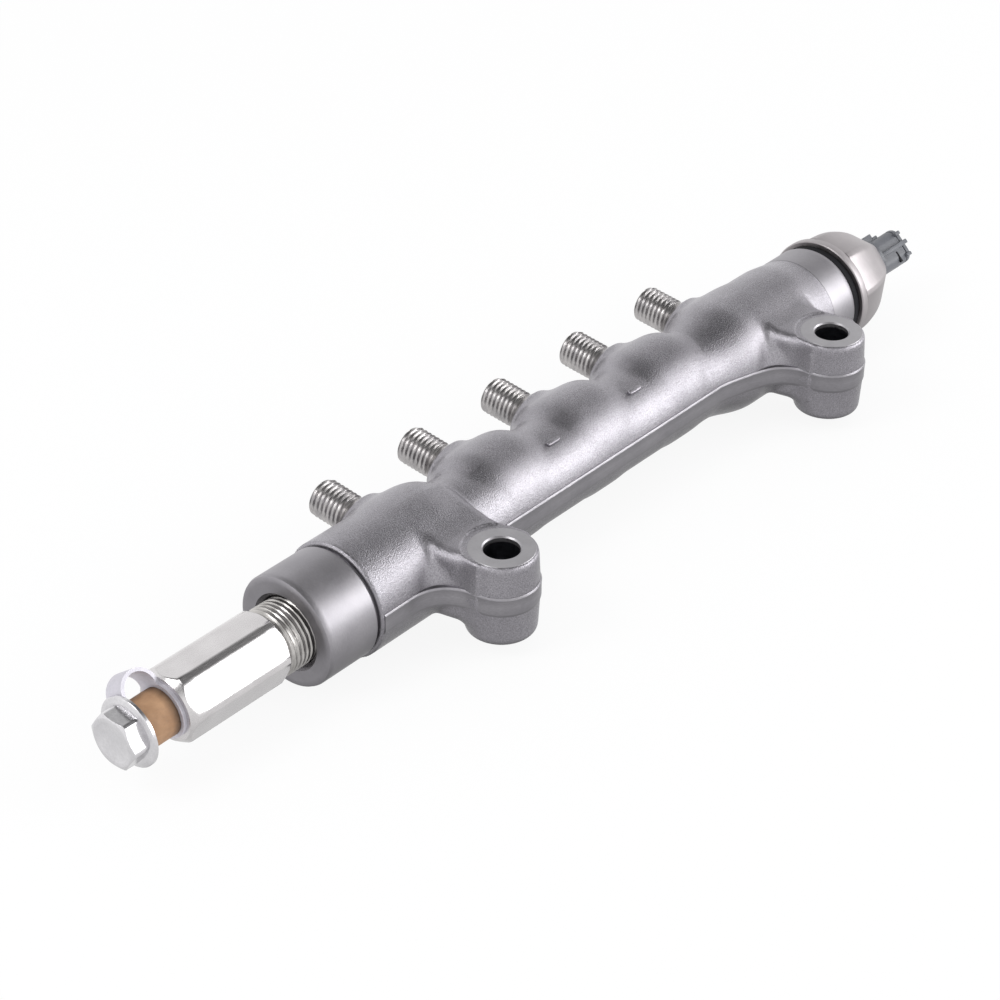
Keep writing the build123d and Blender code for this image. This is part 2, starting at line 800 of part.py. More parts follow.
os.makedirs("parts", exist_ok=True)
export_step(rail_body.part, "parts/rail_body.step")
export_step(limiter_body.part, "parts/limiter_body.step")
export_step(limiter_seat.part, "parts/limiter_seat.step")
export_step(limiter_valve.part, "parts/limiter_valve.step")
export_step(limiter_spring.part, "parts/limiter_spring.step")
export_step(limiter_shim.part, "parts/limiter_shim.step")
export_step(limiter_spring_stop.part, "parts/limiter_spring_stop.step")
export_step(eye_bolt.part, "parts/eye_bolt.step")
export_step(twin_gasket.part, "parts/twin_gasket.step")
export_step(spacer_sleeve.part, "parts/spacer_sleeve.step")
export_step(sensor_seal.part, "parts/sensor_seal.step")
export_step(sensor_body.part, "parts/sensor_body.step")
export_step(sensor_stem.part, "parts/sensor_stem.step")
export_step(sensor_board.part, "parts/sensor_board.step")
export_step(sensor_o_ring.part, "parts/sensor_o_ring.step")
export_step(sensor_connector.part, "parts/sensor_connector.step")
for bushing in orifices:
    export_step(bushing, f"parts/{bushing.label}.step")
for blade in terminals:
    export_step(blade, f"parts/{blade.label}.step")
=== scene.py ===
import bpy
import math
import mathutils
import numpy as np
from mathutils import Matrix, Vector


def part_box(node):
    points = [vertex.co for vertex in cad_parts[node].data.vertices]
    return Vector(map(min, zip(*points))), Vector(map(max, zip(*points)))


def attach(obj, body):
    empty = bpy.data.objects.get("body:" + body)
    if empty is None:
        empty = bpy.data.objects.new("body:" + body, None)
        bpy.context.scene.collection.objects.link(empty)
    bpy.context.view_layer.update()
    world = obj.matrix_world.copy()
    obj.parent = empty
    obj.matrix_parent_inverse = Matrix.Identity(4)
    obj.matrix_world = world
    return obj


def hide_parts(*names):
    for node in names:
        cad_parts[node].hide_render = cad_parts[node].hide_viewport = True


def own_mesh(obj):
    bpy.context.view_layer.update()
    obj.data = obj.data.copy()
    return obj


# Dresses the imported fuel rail: the forging as one blended surface, the turned ends, threads and
# hexagons as fine meshes, and a procedural material for every piece. Lengths are in millimetres
# in the row frame, and meshes are written in metres. A station is a distance along the rail's
# axis from its near end face.

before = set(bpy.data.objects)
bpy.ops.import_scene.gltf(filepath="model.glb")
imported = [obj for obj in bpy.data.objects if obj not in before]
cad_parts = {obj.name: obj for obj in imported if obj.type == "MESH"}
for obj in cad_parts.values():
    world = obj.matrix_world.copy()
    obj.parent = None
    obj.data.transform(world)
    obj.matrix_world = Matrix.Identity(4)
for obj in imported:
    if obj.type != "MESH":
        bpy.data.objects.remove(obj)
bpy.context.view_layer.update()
print("frame loaded")

mm = 0.001
nearX = -126.8  # near end face of the rail
axisY = 28.0
axisZ = 13.3  # the parting plane of the forging
railLength = 232.3
boltX = 74.4  # bolt holes, either side of the middle


def addMesh(name, verts, faces, material, body="rail", sharp=32):
    # smooth shaded, apart from edges above an angle in degrees
    mesh = bpy.data.meshes.new(name)
    mesh.from_pydata((np.asarray(verts) * mm).tolist(), [], faces)
    mesh.update()
    mesh.shade_smooth()
    if sharp:
        mesh.set_sharp_from_angle(angle=math.radians(sharp))
    piece = bpy.data.objects.new(name, mesh)
    bpy.context.scene.collection.objects.link(piece)
    piece.data.materials.append(material)
    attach(piece, body)
    return piece


def gridFaces(rows, columns, start=0, closeRows=False):
    # quads between neighbouring rings; each ring is closed on itself
    faces = []
    count = rows if closeRows else rows - 1
    for i in range(count):
        a = start + i * columns
        b = start + ((i + 1) % rows) * columns
        for j in range(columns):
            k = (j + 1) % columns
            faces.append((a + j, a + k, b + k, b + j))
    return faces


class Build:
    # collects several closed shapes into one mesh
    def __init__(self):
        self.verts = []
        self.faces = []
        self.count = 0

    def rings(self, rings, closeRows=False, capStart=True):
        rings = [np.asarray(r, float) for r in rings]
        columns = len(rings[0])
        self.faces += gridFaces(len(rings), columns, self.count, closeRows)
        if not closeRows:
            last = self.count + (len(rings) - 1) * columns
            if capStart:
                self.faces.append(tuple(self.count + j for j in reversed(range(columns))))
            self.faces.append(tuple(last + j for j in range(columns)))
        self.verts.append(np.concatenate(rings))
        self.count += len(rings) * columns

    def finish(self, name, look, sharp=32):
        verts = np.concatenate(self.verts)
        return addMesh(name, verts, self.faces, finishes[look], sharp=sharp)


def along(points, spacing):
    # the corners of a profile, with extra stations so that no step is longer than the spacing
    out = [points[0]]
    for a, b in zip(points, points[1:]):
        steps = max(1, int(math.ceil(math.hypot(b[0] - a[0], b[1] - a[1]) / spacing)))
        for i in range(1, steps + 1):
            t = i / steps
            out.append((a[0] + (b[0] - a[0]) * t, a[1] + (b[1] - a[1]) * t))
    return out


def circle(count):
    return np.linspace(0, 2 * math.pi, count, endpoint=False)


# a place is an origin, an axis and the two directions across it
xDir, yDir, zDir = np.eye(3)
railPlace = (np.array([nearX, axisY, axisZ]), xDir, yDir, zDir)


def portPlace(number):
    tilt = math.radians(port["tilt"])
    out = np.array([0, math.cos(tilt), math.sin(tilt)])
    x = nearX + port["first"] + number * port["pitch"]
    return (np.array([x, axisY, axisZ]), out, xDir, np.cross(out, xDir))


def spun(profile, place, angles, radius=None):
    # rings of a profile of (distance along the axis, radius) pairs, turned round the axis
    origin, axis, u, v = place
    rings = []
    for a, r in profile:
        here = np.full(len(angles), float(r))
        if radius is not None:
            here = radius(a, here, angles)
        across = np.outer(here * np.cos(angles), u)
        rings.append(origin + axis * a + across + np.outer(here * np.sin(angles), v))
    return rings


def tube(name, profile, look, place=railPlace, count=180, radius=None, sharp=32):
    # a hollow piece whose profile closes on itself
    part = Build()
    part.rings(spun(profile, place, circle(count), radius), closeRows=True)
    return part.finish(name, look, sharp)


def flatSides(count, acrossFlats, clocking):
    # radius of a prism with flat sides whose normals start at an angle, in degrees
    step = 2 * math.pi / count
    start = math.radians(clocking)

    def radius(angles):
        off = (angles - start + step / 2) % step - step / 2
        return acrossFlats / 2 / np.cos(off)

    return radius


def sideAngles(count, acrossFlats, cornerD, clocking, fine=3.0):
    # angles every few degrees over the flats, with both edges of each exactly, and four between
    step = 360 / count
    half = math.degrees(math.acos(min(1, acrossFlats / cornerD)))
    angles = []
    for i in range(count):
        middle = clocking + i * step
        angles += list(np.linspace(middle - half, middle + half, max(3, int(2 * half / fine))))
        angles += list(np.linspace(middle + half, middle + step - half, 6)[1:-1])
    return np.radians(np.array(angles))


threadForm = {"flank": 2.6, "land": 0.65}  # steepness of the flanks, and width of the root


def threadRadius(crest, root, pitch, start, end, fade):
    # trapezoid thread between two stations, faded out at both
    def radius(a, here, angles):
        phase = (a / pitch - angles / (2 * math.pi)) % 1.0
        rise = (0.5 - np.abs(phase - 0.5)) * threadForm["flank"] - threadForm["land"]
        strength = np.clip(min((a - start) / fade + 1e-6, (end - a) / fade + 1e-6), 0, 1)
        cut = root + (crest - root) * np.clip(rise, 0, 1)
        return np.where(here > cut, here + (cut - here) * strength, here)

    return radius


def newMaterial(name):
    material = bpy.data.materials.new(name)
    material.use_nodes = True
    nodes = material.node_tree.nodes
    nodes.clear()
    shader = nodes.new("ShaderNodeBsdfPrincipled")
    output = nodes.new("ShaderNodeOutputMaterial")
    material.node_tree.links.new(shader.outputs["BSDF"], output.inputs["Surface"])
    return material, shader


def noiseNode(tree, scale, detail, stretch=(1, 1, 1)):
    coord = tree.nodes.new("ShaderNodeTexCoord")
    mapping = tree.nodes.new("ShaderNodeMapping")
    mapping.inputs["Scale"].default_value = stretch
    noise = tree.nodes.new("ShaderNodeTexNoise")
    noise.inputs["Scale"].default_value = scale
    noise.inputs["Detail"].default_value = detail
    noise.inputs["Roughness"].default_value = 0.55
    tree.links.new(coord.outputs["Object"], mapping.inputs["Vector"])
    tree.links.new(mapping.outputs["Vector"], noise.inputs["Vector"])
    return noise


def rangeNode(tree, source, low, high, fromLow=0.3, fromHigh=0.7):
    node = tree.nodes.new("ShaderNodeMapRange")
    node.inputs["From Min"].default_value = fromLow
    node.inputs["From Max"].default_value = fromHigh
    node.inputs["To Min"].default_value = low
    node.inputs["To Max"].default_value = high
    tree.links.new(source, node.inputs["Value"])
    return node


def rampNode(tree, source, dark, light):
    ramp = tree.nodes.new("ShaderNodeValToRGB")
    for element, position, colour in zip(ramp.color_ramp.elements, (0.3, 0.7), (dark, light)):
        element.position = position
        element.color = (*colour, 1)
    tree.links.new(source, ramp.inputs["Fac"])
    return ramp


def bumpNode(tree, height, strength, distance, normal=None):
    bump = tree.nodes.new("ShaderNodeBump")
    bump.inputs["Strength"].default_value = strength
    bump.inputs["Distance"].default_value = distance
    tree.links.new(height, bump.inputs["Height"])
    if normal is not None:
        tree.links.new(normal, bump.inputs["Normal"])
    return bump


def scaleNode(tree, colour, factor):
    node = tree.nodes.new("ShaderNodeVectorMath")
    node.operation = "SCALE"
    tree.links.new(colour, node.inputs[0])
    tree.links.new(factor, node.inputs["Scale"])
    return node.outputs["Vector"]


def shadeNode(tree, colour, source, axis, low, high, fromLow, fromHigh):
    # scales a colour by one axis of where the surface lies or faces, which paints shade into it
    place = tree.nodes.new("ShaderNodeNewGeometry")
    split = tree.nodes.new("ShaderNodeSeparateXYZ")
    tree.links.new(place.outputs[source], split.inputs["Vector"])
    shade = rangeNode(tree, split.outputs[axis], low, high, fromLow, fromHigh)
    return scaleNode(tree, colour, shade.outputs["Result"])


def surface(name, look):
    # patchy speckled colour, uneven roughness, and a fine grain over a slow wave; some looks add
    # painted shade
    material, shader = newMaterial(name)
    tree = material.node_tree
    patches = noiseNode(tree, look["patchScale"], 4.0)
    ramp = rampNode(tree, patches.outputs["Fac"], look["dark"], look["light"])
    grain = noiseNode(tree, look["grainScale"], 3.0, look.get("stretch", (1, 1, 1)))
    amount = look.get("speckle", 0.05)
    speckle = rangeNode(tree, grain.outputs["Fac"], 1 - amount, 1 + amount)
    colour = scaleNode(tree, ramp.outputs["Color"], speckle.outputs["Result"])
    if "under" in look:
        # painted shade: darker on the sides and underside, in place of the darker surroundings
        # those faces reflect
        colour = shadeNode(tree, colour, "Normal", "Z", look["under"], 1, -0.45, 0.5)
    # painted shade at the sleeve's end, where it runs into the limiter's hex
    if "paintedShadeEnd" in look:
        start, end, least = look["paintedShadeEnd"]
        start, end = (nearX + start) * mm, (nearX + end) * mm
        colour = shadeNode(tree, colour, "Position", "X", 1, least, start, end)
    tree.links.new(colour, shader.inputs["Base Color"])
    shader.inputs["Metallic"].default_value = look.get("metal", 1.0)
    rough = rangeNode(tree, grain.outputs["Fac"], *look["rough"])
    tree.links.new(rough.outputs["Result"], shader.inputs["Roughness"])
    first = bumpNode(tree, grain.outputs["Fac"], look["grain"], look["depth"])
    wave = noiseNode(tree, look["waveScale"], 2.0).outputs["Fac"]
    second = bumpNode(tree, wave, look["wave"], look["waveDepth"], first.outputs["Normal"])
    tree.links.new(second.outputs["Normal"], shader.inputs["Normal"])
    if "specular" in look:
        shader.inputs["Specular IOR Level"].default_value = look["specular"]
    if "coat" in look:
        shader.inputs["Coat Weight"].default_value = look["coat"]
        shader.inputs["Coat Roughness"].default_value = 0.2
    return material


# Depths are in metres; a look without "metal" is bare metal
# under is painted shade: the share of the colour left on faces that look down
looks = {
    "forging": {
        "dark": (0.355, 0.342, 0.371), "light": (0.440, 0.425, 0.458), "under": 0.28,
        "patchScale": 60, "grainScale": 3000, "speckle": 0.30, "rough": (0.28, 0.40),
        "grain": 1.0, "depth": 0.00015, "waveScale": 110, "wave": 0.14, "waveDepth": 0.0008,
    },
    "trimmed": {
        "dark": (0.32, 0.31, 0.333), "light": (0.40, 0.388, 0.412), "under": 0.35,
        "patchScale": 90, "grainScale": 1100, "stretch": (0.5, 1, 3), "speckle": 0.10,
        "rough": (0.36, 0.48), "grain": 0.5, "depth": 0.00012,
        "waveScale": 150, "wave": 0.2, "waveDepth": 0.0005,
    },
    "turnedPort": {
        "dark": (0.34, 0.33, 0.335), "light": (0.54, 0.52, 0.515),
        "patchScale": 300, "grainScale": 900, "stretch": (0.12, 6, 0.12), "speckle": 0.08,
        "rough": (0.24, 0.40), "grain": 0.25, "depth": 0.00006,
        "waveScale": 500, "wave": 0.10, "waveDepth": 0.0002,
    },
    "satin": {
        "dark": (0.36, 0.348, 0.372), "light": (0.43, 0.416, 0.44), "under": 0.32,
        "patchScale": 90, "grainScale": 1500, "stretch": (2, 0.8, 0.8), "speckle": 0.06,
        "rough": (0.42, 0.50), "grain": 0.3, "depth": 0.00007,
        "waveScale": 110, "wave": 0.08, "waveDepth": 0.0004,
    },
    # painted shade: near-black bore walls stand in for the shade inside the bolt holes
    "paintedShadeBore": {
        "dark": (0.05, 0.05, 0.06), "light": (0.09, 0.09, 0.105),
        "patchScale": 200, "grainScale": 900, "stretch": (0.5, 0.5, 4), "speckle": 0.1,
        "rough": (0.35, 0.5), "grain": 0.2, "depth": 0.00006,
        "waveScale": 200, "wave": 0.1, "waveDepth": 0.0002,
    },
    "milled": {
        "dark": (0.44, 0.43, 0.45), "light": (0.52, 0.51, 0.53),
        "patchScale": 150, "grainScale": 1500, "rough": (0.36, 0.46),
        "grain": 0.15, "depth": 0.00005, "waveScale": 200, "wave": 0.05, "waveDepth": 0.0002,
    },
    "zinc": {
        "dark": (0.67, 0.65, 0.655), "light": (0.76, 0.74, 0.745), "under": 0.62,
        "patchScale": 120, "grainScale": 1400, "stretch": (0.3, 3, 3), "rough": (0.20, 0.30),
        "grain": 0.12, "depth": 0.00004, "waveScale": 150, "wave": 0.06, "waveDepth": 0.0002,
    },
    "zincThread": {
        "dark": (0.42, 0.405, 0.39), "light": (0.66, 0.64, 0.62), "under": 0.6,
        "patchScale": 260, "grainScale": 900, "stretch": (4, 0.4, 0.4), "rough": (0.30, 0.42),
        "grain": 0.08, "depth": 0.00004, "waveScale": 200, "wave": 0.05, "waveDepth": 0.0002,
    },
    "brightZinc": {
        "dark": (0.70, 0.69, 0.71), "light": (0.82, 0.81, 0.83), "under": 0.6,
        "patchScale": 160, "grainScale": 1200, "rough": (0.16, 0.26),
        "grain": 0.10, "depth": 0.00005, "waveScale": 260, "wave": 0.10, "waveDepth": 0.0002,
    },
    "paleMetal": {
        "dark": (0.62, 0.605, 0.66), "light": (0.72, 0.70, 0.76), "metal": 0.7,
        "patchScale": 200, "grainScale": 1600, "rough": (0.50, 0.62),
        "grain": 0.15, "depth": 0.00004, "waveScale": 200, "wave": 0.10, "waveDepth": 0.0002,
    },
    "fibre": {
        "dark": (0.30, 0.165, 0.085), "light": (0.44, 0.26, 0.145), "metal": 0.0,
        # painted shade: the sleeve darkens toward the limiter's hex
        "paintedShadeEnd": (-46.0, -43.4, 0.28),  # between two stations, and the least
        "patchScale": 220, "grainScale": 900, "stretch": (1, 3, 3), "rough": (0.55, 0.75),
        "grain": 0.35, "depth": 0.0001, "waveScale": 160, "wave": 0.2, "waveDepth": 0.0004,
    },
    # near-black rubber; the same colour also paints shade, in the gap at the sensor and in the
    # connector's slot
    "rubberAndShade": {
        "dark": (0.006, 0.006, 0.008), "light": (0.012, 0.012, 0.015), "metal": 0.0,
        "patchScale": 200, "grainScale": 1500, "rough": (0.65, 0.8), "specular": 0.25,
        "grain": 0.2, "depth": 0.00006, "waveScale": 200, "wave": 0.1, "waveDepth": 0.0002,
    },
    "stainless": {
        "dark": (0.42, 0.395, 0.405), "light": (0.50, 0.47, 0.48), "under": 0.5,
        "patchScale": 110, "grainScale": 800, "stretch": (4, 0.6, 0.6), "rough": (0.38, 0.48),
        "grain": 0.08, "depth": 0.00004, "waveScale": 150, "wave": 0.05, "waveDepth": 0.0002,
    },
    "hardSteel": {
        "dark": (0.42, 0.42, 0.43), "light": (0.52, 0.52, 0.53),
        "patchScale": 200, "grainScale": 1500, "rough": (0.22, 0.34),
        "grain": 0.08, "depth": 0.00003, "waveScale": 200, "wave": 0.04, "waveDepth": 0.0001,
    },
    "darkSteel": {
        "dark": (0.20, 0.20, 0.21), "light": (0.28, 0.28, 0.29),
        "patchScale": 400, "grainScale": 1800, "rough": (0.30, 0.45),
        "grain": 0.10, "depth": 0.00003, "waveScale": 300, "wave": 0.05, "waveDepth": 0.0001,
    },
    "board": {
        "dark": (0.02, 0.10, 0.045), "light": (0.03, 0.14, 0.06), "metal": 0.0,
        "patchScale": 500, "grainScale": 1800, "rough": (0.3, 0.45), "coat": 0.3,
        "grain": 0.1, "depth": 0.00003, "waveScale": 300, "wave": 0.05, "waveDepth": 0.0001,
    },
    "plastic": {
        "dark": (0.105, 0.110, 0.125), "light": (0.135, 0.140, 0.158), "metal": 0.0,
        "patchScale": 250, "grainScale": 2200, "rough": (0.34, 0.46), "specular": 0.55,
        "grain": 0.15, "depth": 0.00004, "waveScale": 300, "wave": 0.05, "waveDepth": 0.0001,
    },
    "tin": {
        "dark": (0.62, 0.56, 0.42), "light": (0.74, 0.68, 0.52),
        "patchScale": 400, "grainScale": 1600, "rough": (0.22, 0.35),
        "grain": 0.08, "depth": 0.00003, "waveScale": 300, "wave": 0.05, "waveDepth": 0.0001,
    },
}
finishes = {name: surface(name, look) for name, look in looks.items()}
print("materials made")

# Forging: one blended surface, found as the zero level of a field. Sizes along the rail are
# stations; heights of the bosses and webs are from the parting plane.
forging = {
    "start": 19.2, "end": 221.8, "overlap": 0.3,  # it runs under the turned ends
    "nearR": 16.9, "nearEnd": 48.0, "nearStep": 13.8, "nearPower": 2.4, "midR": 13.6,
    "farStart": 166.0, "farStep": 19.0, "farR": 17.2, "shoulder": 11.0, "farEndR": 16.12,
    "step": 0.62,  # of the grid, whose corners are past the two ends in X
    "gridLow": (-1.5, -11.6, -4.9), "gridHigh": (1.5, 48.5, 31.6),
}
port = {
    "first": 48.0, "pitch": 35.5, "count": 5, "tilt": 5.8, "reach": 33.2, "collarR": 8.2,
    "collarTop": 18.5, "domeR": 15.7, "domeShift": 2.2, "domeLong": 14.4, "domePower": 4,
}
boss = {
    "r": 10.45, "top": 12.5, "bottom": -13.28, "draft": 0.0524, "holeR": 5.0, "chamfer": 0.4,
    "holeRoom": 0.5,  # the seat and bore have meshes of their own in here
    "spotR": 9.25, "spotTop": 12.0, "spotRim": 10.6, "spotReach": 13.0, "spotDrop": 0.03,
    "webHalf": 10.3, "flare": 2.8, "flareLength": 12.0, "webTop": 12.35, "webBottom": -9.5,
    "climb": 0.22, "climbY": -16.0, "climbLength": 18.0,  # the web's top rises toward the rail
}
# how softly the forms run into each other
blend = {
    "dome": 0.3, "domeTop": 1.9, "domeFrom": -9.0, "domeOver": 10.0,
    "collar": 3.6, "collarEdge": 0.8, "webEdge": 3.6, "webUnder": 4.0, "postEdge": 2.2,
    "post": 2.4, "above": 8.4, "aboveFall": 0.62, "below": 10.2, "belowFall": 1.15,
    "least": 1.6, "most": 10.0, "spot": 0.3, "scale": 0.95, "webScale": 0.98,
}
band = {
    "half": 2.4, "proud": 0.23, "bossR": 10.45, "spread": 10.0, "arm": 1.5, "march": 0.6,
    "past": 0.2, "most": 2000,
}


def smoothMin(a, b, k):
    h = np.clip(0.5 + 0.5 * (b - a) / k, 0, 1)
    return b + (a - b) * h - k * h * (1 - h)


def smoothMax(a, b, k):
    return -smoothMin(-a, -b, k)


def smoothStep(t):
    return t * t * (3 - 2 * t)


def forgedRadius(s):
    f = forging
    t = np.clip((s - f["nearEnd"]) / f["nearStep"], 0, 1)
    r = f["nearR"] - (f["nearR"] - f["midR"]) * t ** f["nearPower"]
    u = np.clip((s - f["farStart"]) / f["farStep"], 0, 1)
    r = r + (f["farR"] - f["midR"]) * smoothStep(u)
    w = np.clip((s - (f["end"] - f["shoulder"])) / f["shoulder"], 0, 1)
    return r - (f["farR"] - f["farEndR"]) * smoothStep(w)


def webSide(p, x):
    # the web widens on its near side, where it runs into the rail
    flare = boss["flare"] * np.clip(p[:, 1] / boss["flareLength"], 0, 1)
    return np.abs(p[:, 0] - x) - boss["webHalf"] - np.where(p[:, 0] < x, flare, 0)


def bossPlan(p, wall):
    # outline of the rail and its bosses seen from above, as a distance
    plan = np.abs(p[:, 1] - axisY) - wall
    for x in (-boltX, boltX):
        dx = np.abs(p[:, 0] - x)
        arm = np.maximum(webSide(p, x), np.abs(p[:, 1] - axisY / 2) - axisY / 2)
        bracket = smoothMin(np.hypot(dx, p[:, 1]) - band["bossR"], arm, band["arm"])
        plan = smoothMin(plan, bracket, band["spread"])
    return plan


def portForm(shape, s, y, z):
    # domes with steep flanks, and the collars that stand on them
    tilt = math.radians(port["tilt"])
    out = y * math.cos(tilt) + z * math.sin(tilt)
    side = -y * math.sin(tilt) + z * math.cos(tilt)
    squeeze = port["domeR"] / port["domeLong"]
    n = port["domePower"]
    across = np.hypot(out - port["domeShift"], side)
    upper = np.clip((out - blend["domeFrom"]) / blend["domeOver"], 0, 1)
    soft = blend["dome"] + blend["domeTop"] * upper
    for i in range(port["count"]):
        dx = s - port["first"] - i * port["pitch"]
        dome = (np.abs(dx * squeeze) ** n + across**n) ** (1 / n) - port["domeR"]
        shape = smoothMin(shape, dome * blend["scale"], soft)
        collar = np.hypot(dx, side) - port["collarR"]
        collar = smoothMax(collar, out - port["collarTop"], blend["collarEdge"])
        collar = np.maximum(collar, -out)
        shape = smoothMin(shape, collar, blend["collar"])
    return shape


def bossForm(shape, p, x, y, z):
    # a bolt boss and its web, with the hole and the room for the milled seat
    dx = np.abs(p[:, 0] - x)
    by = p[:, 1]
    slope = np.abs(z) * boss["draft"]
    across = webSide(p, x) + slope
    climb = boss["climb"] * np.clip(y - boss["climbY"], 0, boss["climbLength"])
    top = (z - boss["webTop"] - climb) * blend["webScale"]
    web = smoothMax(across, top, blend["webEdge"])
    web = smoothMax(web, boss["webBottom"] - z, blend["webUnder"])
    web = np.maximum(np.maximum(web, -by), by - axisY)
    post = np.hypot(dx, by) - boss["r"] + slope
    post = smoothMax(post, z - boss["top"], blend["postEdge"])
    post = smoothMax(post, boss["bottom"] - z, blend["postEdge"])
    bracket = smoothMin(post, web, blend["post"])
    above = blend["above"] - blend["aboveFall"] * z
    below = blend["below"] + blend["belowFall"] * z
    join = np.clip(np.where(z > 0, above, below), blend["least"], blend["most"])
    shape = smoothMin(shape, bracket, join)
    hole = np.hypot(dx, by)
    shape = np.maximum(shape, boss["holeR"] + boss["chamfer"] + boss["holeRoom"] - hole)
    rise = np.clip(hole - boss["spotRim"], 0, 4)
    spot = z - boss["spotTop"] + boss["spotDrop"] - rise
    return smoothMax(shape, np.where(hole < boss["spotReach"], spot, -9), blend["spot"])


def forgingField(p):
    s = p[:, 0] - nearX
    y = p[:, 1] - axisY
    z = p[:, 2] - axisZ
    shape = (np.hypot(y, z) - forgedRadius(s)) * blend["scale"]
    shape = portForm(shape, s, y, z)
    for x in (-boltX, boltX):
        shape = bossForm(shape, p, x, y, z)
    ends = (forging["start"] - forging["overlap"] - s, s - forging["end"] - forging["overlap"])
    return np.maximum(shape, np.maximum(*ends))


def fieldNormal(field, p, step=0.02):
    grad = np.empty_like(p)
    for i in range(3):
        d = np.zeros(3)
        d[i] = step
        grad[:, i] = (field(p + d) - field(p - d)) / (2 * step)
    return grad


def fieldSurface(field, low, high, step, passes=7, leastSlope=0.05):
    # one vertex in every grid cell that the surface crosses, moved onto the surface
    axes = [np.arange(low[i], high[i] + step, step) for i in range(3)]
    size = [len(a) for a in axes]
    values = np.empty(size)
    gy, gz = np.meshgrid(axes[1], axes[2], indexing="ij")
    for i, x in enumerate(axes[0]):
        points = np.column_stack([np.full(gy.size, x), gy.ravel(), gz.ravel()])
        values[i] = field(points).reshape(gy.shape)
    inside = values < 0
    corners = sum(
        inside[a:size[0] - 1 + a, b:size[1] - 1 + b, c:size[2] - 1 + c].astype(int)
        for a in (0, 1) for b in (0, 1) for c in (0, 1)
    )
    mixed = (corners > 0) & (corners < 8)
    index = np.full(mixed.shape, -1)
    index[mixed] = np.arange(mixed.sum())
    cells = np.argwhere(mixed)
    home = np.array(low) + (cells + 0.5) * step
    room = step * 0.75  # how far a vertex may leave the middle of its cell
    verts = home.copy()
    for _ in range(passes):
        value = field(verts)
        grad = fieldNormal(field, verts)
        move = grad * (value / np.maximum((grad**2).sum(1), leastSlope))[:, None]
        verts = np.clip(verts - np.clip(move, -step, step), home - room, home + room)
    faces = []
    for axis in range(3):
        b, c = (axis + 1) % 3, (axis + 2) % 3
        first = np.take(inside, range(size[axis] - 1), axis)
        second = np.take(inside, range(1, size[axis]), axis)
        at = np.argwhere(first != second)
        within = (at[:, b] > 0) & (at[:, c] > 0)
        at = at[within & (at[:, b] < size[b] - 1) & (at[:, c] < size[c] - 1)]
        out = first[at[:, 0], at[:, 1], at[:, 2]]
        quad = []
        for db, dc in ((-1, -1), (0, -1), (0, 0), (-1, 0)):
            where = at.copy()
            where[:, b] += db
            where[:, c] += dc
            quad.append(index[where[:, 0], where[:, 1], where[:, 2]])
        quad = np.column_stack(quad)
        quad[~out] = quad[~out][:, ::-1]
        faces.append(quad)
    return verts, np.concatenate(faces)


low, high = list(forging["gridLow"]), list(forging["gridHigh"])
low[0] = nearX + forging["start"] + low[0]
high[0] = nearX + forging["end"] + high[0]
verts, quads = fieldSurface(forgingField, low, high, forging["step"])
body = addMesh("forging", verts, quads.tolist(), finishes["forging"], sharp=0)
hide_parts("rail_body")
print("forging made", len(quads))


# Flat band along the parting line, where the flash was trimmed off
def planAt(x, y):
    point = np.array([[x, y, axisZ]])
    return float(bossPlan(point, forgedRadius(point[:, 0] - nearX))[0])


def planSlope(x, y, step=0.02):
    gx = (planAt(x + step, y) - planAt(x - step, y)) / (2 * step)
    gy = (planAt(x, y + step) - planAt(x, y - step)) / (2 * step)
    return gx, gy


x, y = nearX + forging["start"] + band["past"], axisY - forging["nearR"]
path = []
while x < nearX + forging["end"] + band["past"] and len(path) < band["most"]:
    for _ in range(3):
        gx, gy = planSlope(x, y)
        value = planAt(x, y) / (gx * gx + gy * gy)
        x, y = x - gx * value, y - gy * value
    size = math.hypot(gx, gy)
    path.append((x, y, gx / size, gy / size))
    x, y = x - gy / size * band["march"], y + gx / size * band["march"]
half, proud = band["half"], band["proud"]
section = [  # outward and upward, from the top down
    (-1.6, half + 0.60), (-0.10, half + 0.55), (proud - 0.03, half + 0.10), (proud, half - 0.05),
    (proud - 0.06, half - 0.25), (proud - 0.08, 0.1), (proud - 0.08, 0.3 - half),
    (proud - 0.14, -half), (proud - 0.40, -half - 0.7), (-1.8, -half - 1.8),
]
rings = []
for x, y, nx, ny in path:
    rings.append([(x + nx * out, y + ny * out, axisZ + rise) for out, rise in section])
part = Build()
part.rings(rings)
part.finish("parting_band", "trimmed", sharp=30)
print("band made", len(path))

# Raised bars of the forging die on the top of the rail
bars = {
    "stations": (100.0, 136.0), "angle": 114.0, "length": 5.0, "width": 1.5, "lift": 0.35,
    "lengthPower": 0.35, "widthPower": 0.6,
    "layers": ((-0.8, 1.25), (0.0, 1.12), (0.25, 1.0), (0.4, 0.85), (0.45, 0.6)),
}


def rounded(wave, power):
    # a power below one squares off the outline
    return np.sign(wave) * np.abs(wave) ** power


lift = math.radians(bars["angle"])
outward = np.array([0, math.cos(lift), math.sin(lift)])
sideways = np.array([0, -math.sin(lift), math.cos(lift)])
turn = circle(40)
part = Build()
for s in bars["stations"]:
    centre = np.array([nearX + s, axisY, axisZ]) + outward * (forging["midR"] + bars["lift"])
    rings = []
    for rise, grow in bars["layers"]:
        reach = 0.8 + 0.2 * grow
        u = rounded(np.cos(turn), bars["lengthPower"]) * bars["length"] / 2 * reach
        v = rounded(np.sin(turn), bars["widthPower"]) * bars["width"] / 2 * grow
        rings.append(centre + outward * rise + np.outer(u, xDir) + np.outer(v, sideways))
    part.rings(rings)
part.finish("die_bars", "forging", sharp=0)

